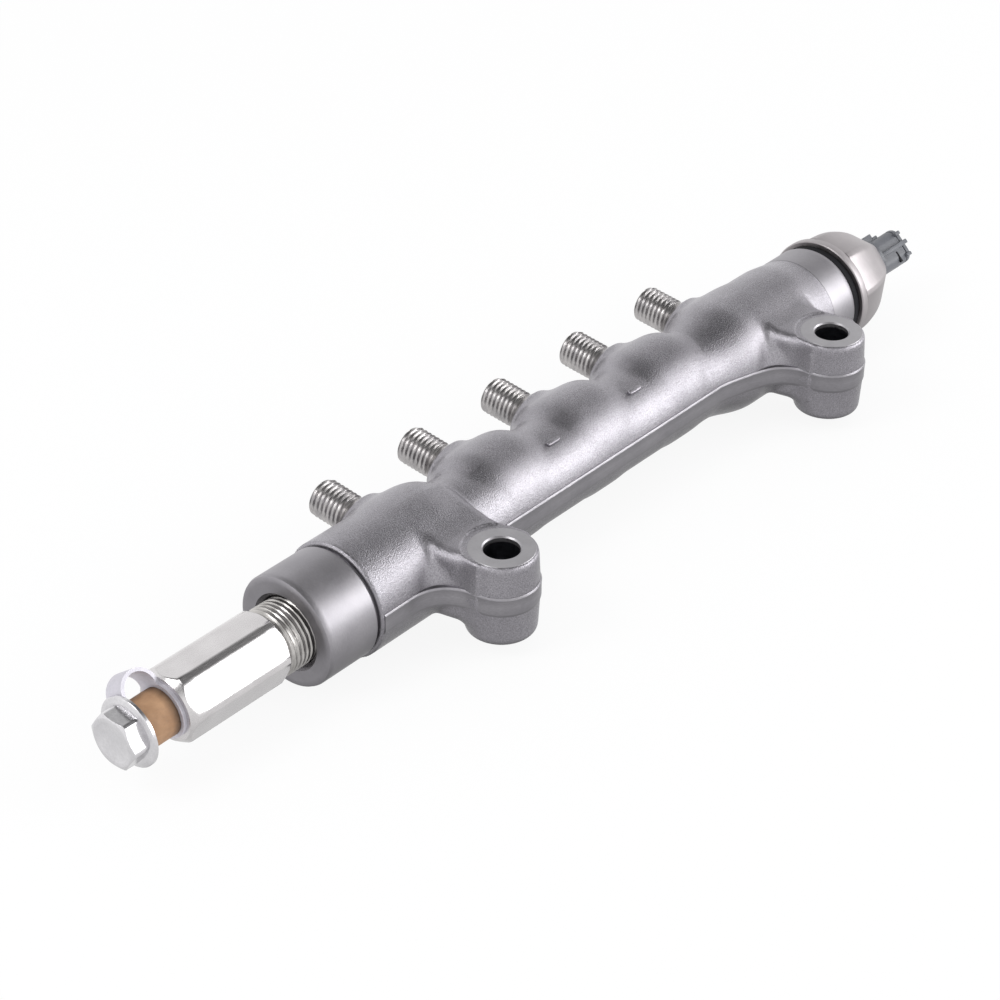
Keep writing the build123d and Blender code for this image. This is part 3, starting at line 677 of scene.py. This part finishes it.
# Turned ends of the rail, and the rounded lip of the forging behind the near one
nearEnd = {
    "r": 16.1, "length": 17.6, "reliefR": 15.3, "edge": 1.0, "bevel": 0.3, "heel": 0.2,
    "mouthR": 11.2, "boreR": 9.95, "deep": 3.0,
}
farEnd = {
    "r": 16.2, "edge": 1.0, "bevel": 0.3, "heel": 0.2, "mouthR": 9.8, "mouth": 0.8, "boreR": 9.0,
    "deep": 3.0, "under": 0.6,
}
lip = {  # past the turned end, and from the forging's radius
    "coreR": 14.5,
    "curve": ((0.9, -0.9), (1.0, -0.5), (1.25, -0.2), (1.7, 0.0), (2.6, 0.02), (3.0, -0.3)),
}

turnedR, edge, bore, heel = (nearEnd[k] for k in ("r", "edge", "boreR", "heel"))
stop, bevel = nearEnd["length"], edge * nearEnd["bevel"]
inner = forging["start"] + forging["overlap"]
profile = [
    (nearEnd["deep"], bore), (nearEnd["mouthR"] - bore, bore), (0.0, nearEnd["mouthR"]),
    (0.0, turnedR - edge), (bevel, turnedR - bevel), (edge, turnedR),
    (stop - heel, turnedR), (stop, turnedR - heel), (stop, nearEnd["reliefR"]),
    (inner, nearEnd["reliefR"]), (inner, bore),
]
tube("near_end", along(profile, 1.0), "satin")

profile = [(stop + past, forging["nearR"] + rise) for past, rise in lip["curve"]]
profile = [(profile[0][0], lip["coreR"]), *profile, (profile[-1][0], lip["coreR"])]
tube("near_lip", along(profile, 0.5), "forging")

turnedR, edge, bore, heel = (farEnd[k] for k in ("r", "edge", "boreR", "heel"))
inner, bevel = forging["end"] - farEnd["under"], edge * farEnd["bevel"]
profile = [
    (railLength - farEnd["deep"], bore), (railLength - farEnd["mouth"], bore),
    (railLength, farEnd["mouthR"]), (railLength, turnedR - edge),
    (railLength - bevel, turnedR - bevel), (railLength - edge, turnedR),
    (forging["end"] - forging["overlap"], turnedR), (inner, turnedR - heel), (inner, bore),
]
tube("far_end", along(profile, 1.0)[::-1], "satin")

# Milled seats and bores of the bolt holes; their walls are thin and lie inside the forging
seat = {
    "deep": 1.6, "wall": 1.3, "lap": 0.3, "rim": 0.2, "rimDrop": 0.12, "rimOut": 0.08, "skirt": 1.0,
}
boltBore = {"under": 0.02, "mouth": 0.5, "below": 1.5}
top, bottom, hole = boss["spotTop"], boss["bottom"], boss["holeR"]
rim, thick, chamfer = boss["spotR"] - seat["rim"], hole + seat["wall"], boss["chamfer"]
ledge, foot, join = top - seat["deep"], bottom + boltBore["under"], top - boltBore["below"]
seatProfile = [
    (ledge, hole + seat["lap"]), (ledge, hole), (top - chamfer, hole), (top, hole + chamfer),
    (top, rim), (top - seat["rimDrop"], boss["spotR"] - seat["rimOut"]),
    (top - seat["skirt"], rim), (ledge, thick),
]
mouth = boltBore["mouth"]
boreProfile = [
    (foot, hole + mouth), (bottom + mouth, hole), (join, hole), (join, thick), (foot, thick),
]
for number, x in enumerate((-boltX, boltX), 1):
    place = (np.array([x, 0, axisZ]), zDir, xDir, yDir)
    profile = along(seatProfile, 1.5)[::-1]
    tube(f"bolt_seat_{number}", profile, "milled", place, 120)
    # the bore walls carry painted shade, near black
    profile = along(boreProfile, 1.5)[::-1]
    tube(f"bolt_bore_{number}", profile, "paintedShadeBore", place, 120)
print("turned ends made")

# Pipe ports: cone, run-out, thread, tip and the cone seat inside. Distances are from the rail's
# axis, along the port.
pipe = {
    "foot": (16.0, 7.0), "rim": (18.9, 7.6), "neck": (21.3, 5.25), "neckEnd": 22.0, "neckR": 5.0,
    "threadStart": 22.1, "fullThread": 22.6, "crest": 5.95, "root": 5.08, "pitch": 1.5, "tip": 0.9,
    "cutFrom": 21.6, "cutTo": 34.2, "fade": 1.0, "spacing": 0.125, "sides": 96,
    "seatR": 3.5, "seatAngle": 30.0, "boreR": 2.0, "boreDepth": 11.0,
}
reach, crest, tip, collarTop = port["reach"], pipe["crest"], pipe["tip"], port["collarTop"]
profile = along([pipe["foot"], (collarTop - 0.15, 7.9), (collarTop + 0.1, 7.85)], 0.4)
profile += along([pipe["rim"], pipe["neck"], (pipe["neckEnd"], pipe["neckR"])], 0.3)
threaded = [(pipe["threadStart"], pipe["neckR"]), (pipe["fullThread"], crest)]
threaded += [(reach - tip, crest), (reach, crest - tip)]
profile += along(threaded, pipe["spacing"])
seatDeep = (pipe["seatR"] - pipe["boreR"]) / math.tan(math.radians(pipe["seatAngle"]))
profile += [
    (reach, pipe["seatR"] + 0.2), (reach - 0.15, pipe["seatR"]),
    (reach - seatDeep, pipe["boreR"]), (reach - pipe["boreDepth"], pipe["boreR"]),
]
cut = threadRadius(crest, pipe["root"], pipe["pitch"], pipe["cutFrom"], pipe["cutTo"], pipe["fade"])


def portThread(a, here, angles):
    outer = here.max() > pipe["root"] and a >= pipe["neckEnd"]
    return cut(a, here, angles) if outer else here


for number in range(port["count"]):
    part = Build()
    part.rings(spun(profile, portPlace(number), circle(pipe["sides"]), portThread))
    part.finish(f"port_thread_{number + 1}", "turnedPort", sharp=50)
print("ports made")

# Pressure limiter: hexagon with lands at its corners, neck and screw thread
limiter = {
    "face": -42.2, "hexEnd": -7.6, "flats": 19.0, "corner": 20.9, "clock": 24.3, "faceR": 6.5,
    "endR": 9.0, "chamfer": 2.0, "farChamfer": 0.9, "boreR": 5.0, "neckR": 8.9,
    "crest": 9.9, "root": 9.4, "pitch": 1.5, "threadFrom": -7.2, "threadTo": 9.0, "fade": 0.8,
}
angles = sideAngles(6, limiter["flats"], limiter["corner"], limiter["clock"])
hexRadius = flatSides(6, limiter["flats"], limiter["clock"])


def limiterSides(a, here, turn):
    return np.minimum(here, hexRadius(turn)) if a <= limiter["hexEnd"] + 0.001 else here


corner = limiter["corner"] / 2
face, hexEnd, boreR = limiter["face"], limiter["hexEnd"], limiter["boreR"]
nearCorner = (face + limiter["chamfer"], corner)
farCorner = (hexEnd - limiter["farChamfer"], corner)
profile = along([(face + 1.5, boreR), (face, boreR + 0.8)], 1.0)
profile += along([(face, limiter["faceR"]), (face, limiter["endR"])], 1.0)
profile += along([(face, limiter["endR"]), nearCorner], 0.08)[1:]
profile += along([nearCorner, farCorner], 4.0)[1:]
profile += along([farCorner, (hexEnd, corner - 1.1)], 0.1)[1:]
profile += [(hexEnd + 0.0005, limiter["neckR"])]
part = Build()
part.rings(spun(profile, railPlace, angles, limiterSides), capStart=False)
hexPiece = part.finish("limiter_hex", "zinc")
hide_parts("limiter_body")

limiterCut = threadRadius(
    limiter["crest"], limiter["root"], limiter["pitch"], limiter["threadFrom"],
    limiter["threadTo"], limiter["fade"],
)
neckR, crest = limiter["neckR"], limiter["crest"]
profile = [(hexEnd - 0.3, neckR - 0.1), (hexEnd + 0.3, neckR - 0.05)]
profile += along([(hexEnd + 0.5, neckR), (hexEnd + 1.3, crest), (3.0, crest)], 0.125)
part = Build()
part.rings(spun(profile, railPlace, circle(144), limiterCut))
part.finish("limiter_thread", "zincThread")
print("limiter made")

# Return bolt with its flange, and the wrapped sleeve on its shank
bolt = {
    "flange": -53.5, "flangeR": 9.8, "flangeT": 1.1, "cone": 0.9, "flats": 14.0, "corner": 15.75,
    "clock": 34.0, "top": -59.9, "edge": 0.55, "rim": 0.15, "shankR": 4.95, "shank": 14.0,
}
under, flange, flangeR = bolt["flange"] - bolt["flangeT"], bolt["flange"], bolt["flangeR"]
coneTop = under - bolt["cone"]
boltAngles = sideAngles(6, bolt["flats"], bolt["corner"], bolt["clock"])
boltHex = flatSides(6, bolt["flats"], bolt["clock"])


def boltSides(a, here, turn):
    return np.minimum(here, boltHex(turn)) if a < coneTop + 0.35 else here


corner, top, rim = bolt["corner"] / 2, bolt["top"], bolt["rim"]
profile = along([(top + 0.1, 5.2), (top, 5.7), (top, 6.75)], 0.5)
profile += along([(top + 0.05, 6.85), (top + bolt["edge"], corner)], 0.07)
profile += along([(top + bolt["edge"], corner), (coneTop, corner)], 1.2)[1:]
profile += [(coneTop + 0.34, corner), (coneTop + 0.36, corner + 0.35)]
profile += along([(coneTop + 0.5, corner + 0.7), (under, flangeR - 0.12)], 0.4)
profile += [
    (under + rim, flangeR), (flange - rim, flangeR), (flange, flangeR - rim),
    (flange, bolt["shankR"]), (flange + bolt["shank"], bolt["shankR"]),
]
part = Build()
part.rings(spun(profile, railPlace, boltAngles, boltSides))
boltPiece = part.finish("return_bolt", "brightZinc")
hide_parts("eye_bolt")

sleeve = {
    "start": -52.5, "end": -43.2, "r": 6.8, "boreR": 5.2, "edge": 0.1, "gap": 0.01,
    "lap": 0.16, "slant": 0.085, "turn": 2.35, "ripple": 0.012,
}


def wrapped(a, here, turn):
    # a paper wrap whose outer edge runs slantwise along the sleeve
    slant = (a - sleeve["start"]) * sleeve["slant"]
    phase = ((turn - sleeve["turn"] - slant) / (2 * math.pi)) % 1.0
    wrap = here - sleeve["lap"] * phase + sleeve["ripple"] * np.sin(turn * 5 + a)
    return np.where(here > 6.0, wrap, here)


start, end, r, edge = sleeve["start"], sleeve["end"], sleeve["r"], sleeve["edge"]
gap, bore = sleeve["gap"], sleeve["boreR"]
profile = [
    (start + gap, bore), (start + gap, r - edge), (start + edge, r), (end - edge, r),
    (end - gap, r - edge), (end - gap, bore),
]
sleevePiece = tube(
    "wrapped_sleeve", along(profile, 0.6), "fibre", count=240,
    radius=wrapped, sharp=40,
)
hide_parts("spacer_sleeve")
print("return bolt made")

# Valve spring inside the limiter
spring = {"meanR": 3.4, "wire": 1.3, "pitch": 3.4, "lift": 1.0, "rings": 400}
foot, head = (corner[0] * 1000 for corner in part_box("limiter_spring"))
climb = head - foot - spring["wire"]
around = np.linspace(2 * math.pi, 0, 16, endpoint=False)[:, None]
rings = []
for share in np.linspace(0, 1, spring["rings"]):
    angle = 2 * math.pi * climb / spring["pitch"] * share
    outward = np.array([0, math.cos(angle), math.sin(angle)])
    x = foot + spring["wire"] / 2 + climb * share
    centre = np.array([x, axisY, axisZ]) + outward * spring["meanR"]
    rings.append(centre + spring["wire"] / 2 * (np.cos(around) * outward + np.sin(around) * xDir))
part = Build()
part.rings(rings)
coil = part.finish("coil_spring", "darkSteel")
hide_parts("limiter_spring")
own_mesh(coil)
print("spring made")

# Pressure sensor: seal ring, eight-sided housing and its rolled lip
sensor = {
    "face": railLength + 2.7, "flangeR": 17.1, "flangeT": 2.6, "flats": 32.2, "corner": 34.2,
    "sides": 8, "clock": 5.7, "topR": 8.3, "height": 25.0, "lipR": 7.5, "noseR": 9.5,
    "sealR": 15.8, "sealBoreR": 10.0, "sealGap": 0.02, "domeRings": 90,
}
face, sealR, sealBoreR, gap = (sensor[k] for k in ("face", "sealR", "sealBoreR", "sealGap"))
profile = [
    (railLength + gap, sealBoreR), (railLength + gap, sealR - 0.5),
    (railLength + 0.2, sealR - 0.15), (railLength + 0.6, sealR), (face - 0.6, sealR),
    (face - 0.2, sealR - 0.15), (face - gap, sealR - 0.5), (face - gap, sealBoreR),
]
# black rubber ring, made near black so that it also paints the shade in the gap between the rail's
# end and the sensor
sealPiece = tube("seal_ring", along(profile, 0.8), "rubberAndShade", count=160)
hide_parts("sensor_seal")

flangeR, topR = sensor["flangeR"], sensor["topR"]
domeStart = face + sensor["flangeT"]
domeEnd = face + sensor["height"]
drop = flangeR - topR
length = domeEnd - domeStart
domeArc = (length**2 + drop**2) / (2 * drop)
octagon = flatSides(sensor["sides"], sensor["flats"], sensor["clock"])
octAngles = sideAngles(sensor["sides"], sensor["flats"], sensor["corner"], sensor["clock"], 2.0)


def sensorSides(a, here, turn):
    # flat across every side, and domed along the axis
    return np.minimum(here, octagon(turn) * here / flangeR) if a > domeStart + 0.01 else here


profile = along([(face, sensor["noseR"]), (face, flangeR - 0.3), (face + 0.3, flangeR)], 2.0)
profile += [(domeStart - 0.25, flangeR), (domeStart, flangeR - 0.1)]
profile += [(domeStart + 0.02, flangeR - 0.12)]
for t in np.linspace(0.01, 1, sensor["domeRings"]):
    a = t * length
    profile.append((domeStart + a, flangeR - domeArc + math.sqrt(domeArc**2 - a * a)))
lipR = sensor["lipR"]
profile += along([(domeEnd, topR - 0.2), (domeEnd - 0.1, lipR), (domeEnd - 2.0, lipR)], 0.5)
part = Build()
part.rings(spun(profile, railPlace, octAngles, sensorSides))
housing = part.finish("sensor_housing", "stainless", 24)
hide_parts("sensor_body")

# Connector: neck, shroud, latch block and ribs, and black strips near its mouth that paint the
# shade of a slot. It is turned about the rail's axis, so its ranges across are along plugU and
# plugV.
plug = {
    "start": domeEnd - 1.5, "neckR": 7.4, "neckEnd": domeEnd + 2.4, "length": 14.3, "turn": 44.0,
    "width": 11.4, "depth": 9.0, "offset": 1.0, "corner": 3.2, "wall": 1.2, "socket": 9.5,
    "latchWidth": 3.0, "latchHeight": 2.3, "latchLength": 6.2, "ribWidth": 1.4, "ribHeight": 1.5,
    "keyLength": 2.6, "keys": (((1.9, 3.1), (-1.2, 0.9)), ((-5.6, -4.4), (-1.4, 0.5))),
    "slotFromEnd": 5.6, "slotWidth": 0.9, "slotDepth": 0.7,
}
turnAngle = math.radians(plug["turn"])
plugU = np.array([0, math.cos(turnAngle), math.sin(turnAngle)])
plugV = np.array([0, -math.sin(turnAngle), math.cos(turnAngle)])


def roundedRing(a, width, depth, corner, shift=(0.0, 0.0), count=14):
    # a rounded rectangle square to the rail, at a station along it
    points = []
    for cu, cv, start in ((1, 1, 0), (-1, 1, 90), (-1, -1, 180), (1, -1, 270)):
        for t in np.linspace(0, 90, count):
            g = math.radians(start + t)
            u = cu * (width / 2 - corner) + corner * math.cos(g) + shift[0]
            v = cv * (depth / 2 - corner) + corner * math.sin(g) + shift[1]
            points.append((u, v))
    origin = np.array([nearX + a, axisY, axisZ])
    return np.array([origin + plugU * u + plugV * v for u, v in points])


def slab(build, start, end, u, v, edge=0.25):
    # a block with softened edges, between two stations and two ranges across them
    width, depth = u[1] - u[0], v[1] - v[0]
    shift = ((u[0] + u[1]) / 2, (v[0] + v[1]) / 2)
    rings = []
    for a, less in (
        (start, edge * 2), (start + edge * 0.3, edge * 0.6), (start + edge, 0),
        (end - edge, 0), (end - edge * 0.3, edge * 0.6), (end, edge * 2),
    ):
        rings.append(roundedRing(a, width - less, depth - less, edge, shift, 5))
    build.rings(rings)


part = Build()
start, neckR, neckEnd = plug["start"], plug["neckR"], plug["neckEnd"]
neck = along([(start, neckR - 0.1), (neckEnd - 0.3, neckR - 0.1), (neckEnd, neckR - 0.4)], 0.6)
part.rings(spun(neck, railPlace, circle(96)))
width, depth, inner = plug["width"], plug["depth"], plug["wall"] * 2
mouth = neckEnd + plug["length"]
shift = (-plug["offset"], 0.0)
rings = []
for a, grow in (  # the outside, with the groove before its mouth
    (neckEnd - 0.8, 0.0), (mouth - 2.2, 0.0), (mouth - 2.1, -0.5), (mouth - 1.5, -0.5),
    (mouth - 1.4, 0.0), (mouth - 0.3, 0.0), (mouth - 0.08, -0.12), (mouth, -0.45),
):
    rings.append(roundedRing(a, width + grow, depth + grow, plug["corner"], shift))
for a, grow in ((mouth, 0.4), (mouth - 0.25, 0.0), (mouth - plug["socket"], -0.2)):
    size = (width - inner + grow, depth - inner + grow)
    rings.append(roundedRing(a, *size, plug["corner"] - plug["wall"], shift))
part.rings(rings)
side = width / 2 - plug["offset"]
top = depth / 2
latchEnd = neckEnd + plug["latchLength"]
latchV = (-plug["latchWidth"] / 2, plug["latchWidth"] / 2)
ribU = (-plug["offset"] - plug["ribWidth"] / 2, -plug["offset"] + plug["ribWidth"] / 2)
slab(part, neckEnd - 0.2, latchEnd, (side - 1.0, side + plug["latchHeight"]), latchV)
slab(part, latchEnd - 0.8, latchEnd + 2.2, (side - 1.0, side + 0.9), latchV)
slab(part, neckEnd - 0.2, mouth, ribU, (top - 1.0, top + plug["ribHeight"]))
for u, v in plug["keys"]:
    slab(part, mouth - plug["keyLength"], mouth - 0.1, u, (top + v[0], top + v[1]))
plugPiece = part.finish("plug_socket", "plastic")
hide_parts("sensor_connector")

# painted shade: near-black strips on the shroud stand in for the shade in the slot near its mouth
slotAt = mouth - plug["slotFromEnd"]
start, end = slotAt - plug["slotWidth"] / 2, slotAt + plug["slotWidth"] / 2
part = Build()
slab(part, start, end, (-6.0, -2.3), (top - plug["slotDepth"], top + 0.02), 0.1)
slab(part, start, end, (-6.72, -6.0), (-1.5, 1.6), 0.1)
part.finish("plug_slot_shade", "rubberAndShade")
print("sensor made")

# Finishes of the solids that stay as they are
solidFinish = {
    "twin_gasket": "paleMetal", "limiter_seat": "hardSteel", "limiter_valve": "hardSteel",
    "limiter_shim": "hardSteel", "limiter_spring_stop": "hardSteel",
    "sensor_stem": "stainless", "sensor_board": "board", "sensor_o_ring": "rubberAndShade",
}
for node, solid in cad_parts.items():
    look = solidFinish.get(node)
    if node.startswith("orifice"):
        look = "hardSteel"
    if node.startswith("terminal"):
        look = "tin"
    if look:
        solid.data.materials.clear()
        solid.data.materials.append(finishes[look])

# Floor, light and camera, in metres
studio = {
    "room": 0.85, "floorGlow": 0.90, "floorColour": (0.86, 0.86, 0.87), "floorLevel": -0.0044,
    "floorReach": 6.0, "middle": (-0.01, 0.02, 0.01), "white": (1, 1, 1, 1),
    "sky": (  # brightness from straight down to straight up
        (0.0, 1.0), (0.50, 1.0), (0.74, 1.0), (0.81, 0.74), (0.87, 0.30), (0.93, 0.12), (1.0, 0.09),
    ),
    "boxes": {  # direction, distance, size and power
        "keyBox": ((0.63, -0.70, 0.34), 1.2, (0.9, 0.7), 6.8),
        "leftBox": ((-0.64, 0.22, 0.66), 1.2, (0.50, 0.40), 3.6),
    },
}


def seenFactor(tree):
    # one where a camera, glossy or transmission ray arrives
    path = tree.nodes.new("ShaderNodeLightPath")
    first = tree.nodes.new("ShaderNodeMath")
    first.operation = "ADD"
    second = tree.nodes.new("ShaderNodeMath")
    second.operation = "ADD"
    second.use_clamp = True
    tree.links.new(path.outputs["Is Camera Ray"], first.inputs[0])
    tree.links.new(path.outputs["Is Glossy Ray"], first.inputs[1])
    tree.links.new(first.outputs["Value"], second.inputs[0])
    tree.links.new(path.outputs["Is Transmission Ray"], second.inputs[1])
    return second.outputs["Value"]


def mixInto(tree, factor, first, second, output):
    # the first where the factor is nought, and the second where it is one
    mix = tree.nodes.new("ShaderNodeMixShader")
    out = tree.nodes.new(output)
    tree.links.new(factor, mix.inputs["Fac"])
    tree.links.new(first, mix.inputs[1])
    tree.links.new(second, mix.inputs[2])
    tree.links.new(mix.outputs["Shader"], out.inputs["Surface"])


world = bpy.data.worlds.new("studio")
bpy.context.scene.world = world
world.use_nodes = True
tree = world.node_tree
tree.nodes.clear()
back = tree.nodes.new("ShaderNodeBackground")
room = tree.nodes.new("ShaderNodeBackground")
coord = tree.nodes.new("ShaderNodeTexCoord")
split = tree.nodes.new("ShaderNodeSeparateXYZ")
ramp = tree.nodes.new("ShaderNodeValToRGB")
height = rangeNode(tree, split.outputs["Z"], 0, 1, -1, 1)
tree.links.new(coord.outputs["Generated"], split.inputs["Vector"])
tree.links.new(height.outputs["Result"], ramp.inputs["Fac"])
elements = ramp.color_ramp.elements
while len(elements) > 1:
    elements.remove(elements[-1])
elements[0].position, level = studio["sky"][0]
elements[0].color = (level, level, level, 1)
for at, level in studio["sky"][1:]:
    elements.new(at).color = (level, level, level, 1)
tree.links.new(ramp.outputs["Color"], back.inputs["Color"])
back.inputs["Strength"].default_value = 1.0
room.inputs["Color"].default_value = studio["white"]
room.inputs["Strength"].default_value = studio["room"]
both = (room.outputs["Background"], back.outputs["Background"])
mixInto(tree, seenFactor(tree), *both, "ShaderNodeOutputWorld")

floorMaterial = bpy.data.materials.new("floorPaper")
floorMaterial.use_nodes = True
tree = floorMaterial.node_tree
tree.nodes.clear()
matte = tree.nodes.new("ShaderNodeBsdfDiffuse")
matte.inputs["Color"].default_value = (*studio["floorColour"], 1)
glow = tree.nodes.new("ShaderNodeEmission")
glow.inputs["Color"].default_value = studio["white"]
most = tree.nodes.new("ShaderNodeMath")
most.operation = "MULTIPLY"
most.inputs[1].default_value = studio["floorGlow"]
tree.links.new(seenFactor(tree), most.inputs[0])
both = (matte.outputs["BSDF"], glow.outputs["Emission"])
mixInto(tree, most.outputs["Value"], *both, "ShaderNodeOutputMaterial")
floorMesh = bpy.data.meshes.new("floor")
reach, level = studio["floorReach"], studio["floorLevel"]
corners = [(u * reach, v * reach, level) for u, v in ((-1, -1), (1, -1), (1, 1), (-1, 1))]
floorMesh.from_pydata(corners, [], [(0, 1, 2, 3)])
floor = bpy.data.objects.new("floor", floorMesh)
bpy.context.scene.collection.objects.link(floor)
floor.data.materials.append(floorMaterial)

for name, (direction, distance, size, power) in studio["boxes"].items():
    data = bpy.data.lights.new(name, "AREA")
    data.shape = "RECTANGLE"
    data.size, data.size_y = size
    data.energy = power
    lamp = bpy.data.objects.new(name, data)
    bpy.context.scene.collection.objects.link(lamp)
    d = np.array(direction, float)
    d /= np.linalg.norm(d)
    lamp.location = np.array(studio["middle"]) + d * distance
    lamp.rotation_mode = "QUATERNION"
    lamp.rotation_quaternion = mathutils.Vector(d).to_track_quat("Z", "Y")

# The camera's target and distance are in millimetres, from the near end of the rail's axis
view = {
    "azimuth": -49.42, "elevation": 33.83, "roll": 0.45, "distance": 757.0,
    "target": (82.58, -1.43, 0.0), "focal": 2.7505, "sensor": 36.0, "far": 20,
}
az, el, roll = (math.radians(view[k]) for k in ("azimuth", "elevation", "roll"))
backward = np.array([math.sin(az) * math.cos(el), -math.cos(az) * math.cos(el), math.sin(el)])
right = np.array([math.cos(az), math.sin(az), 0.0])
up = np.cross(backward, right)
rightTurned = right * math.cos(roll) + up * math.sin(roll)
upTurned = -right * math.sin(roll) + up * math.cos(roll)
eye = np.array(view["target"]) + backward * view["distance"] + np.array([nearX, axisY, axisZ])
cameraData = bpy.data.cameras.new("camera")
cameraData.sensor_width = view["sensor"]
cameraData.lens = view["sensor"] * view["focal"]
cameraData.clip_end = view["far"]
camera = bpy.data.objects.new("camera", cameraData)
bpy.context.scene.collection.objects.link(camera)
matrix = mathutils.Matrix.Identity(4)
for column, vector in enumerate((rightTurned, upTurned, backward, eye * mm)):
    for row in range(3):
        matrix[row][column] = vector[row]
camera.matrix_world = matrix
bpy.context.scene.camera = camera
bpy.context.scene.view_settings.view_transform = "Standard"
print("studio made")
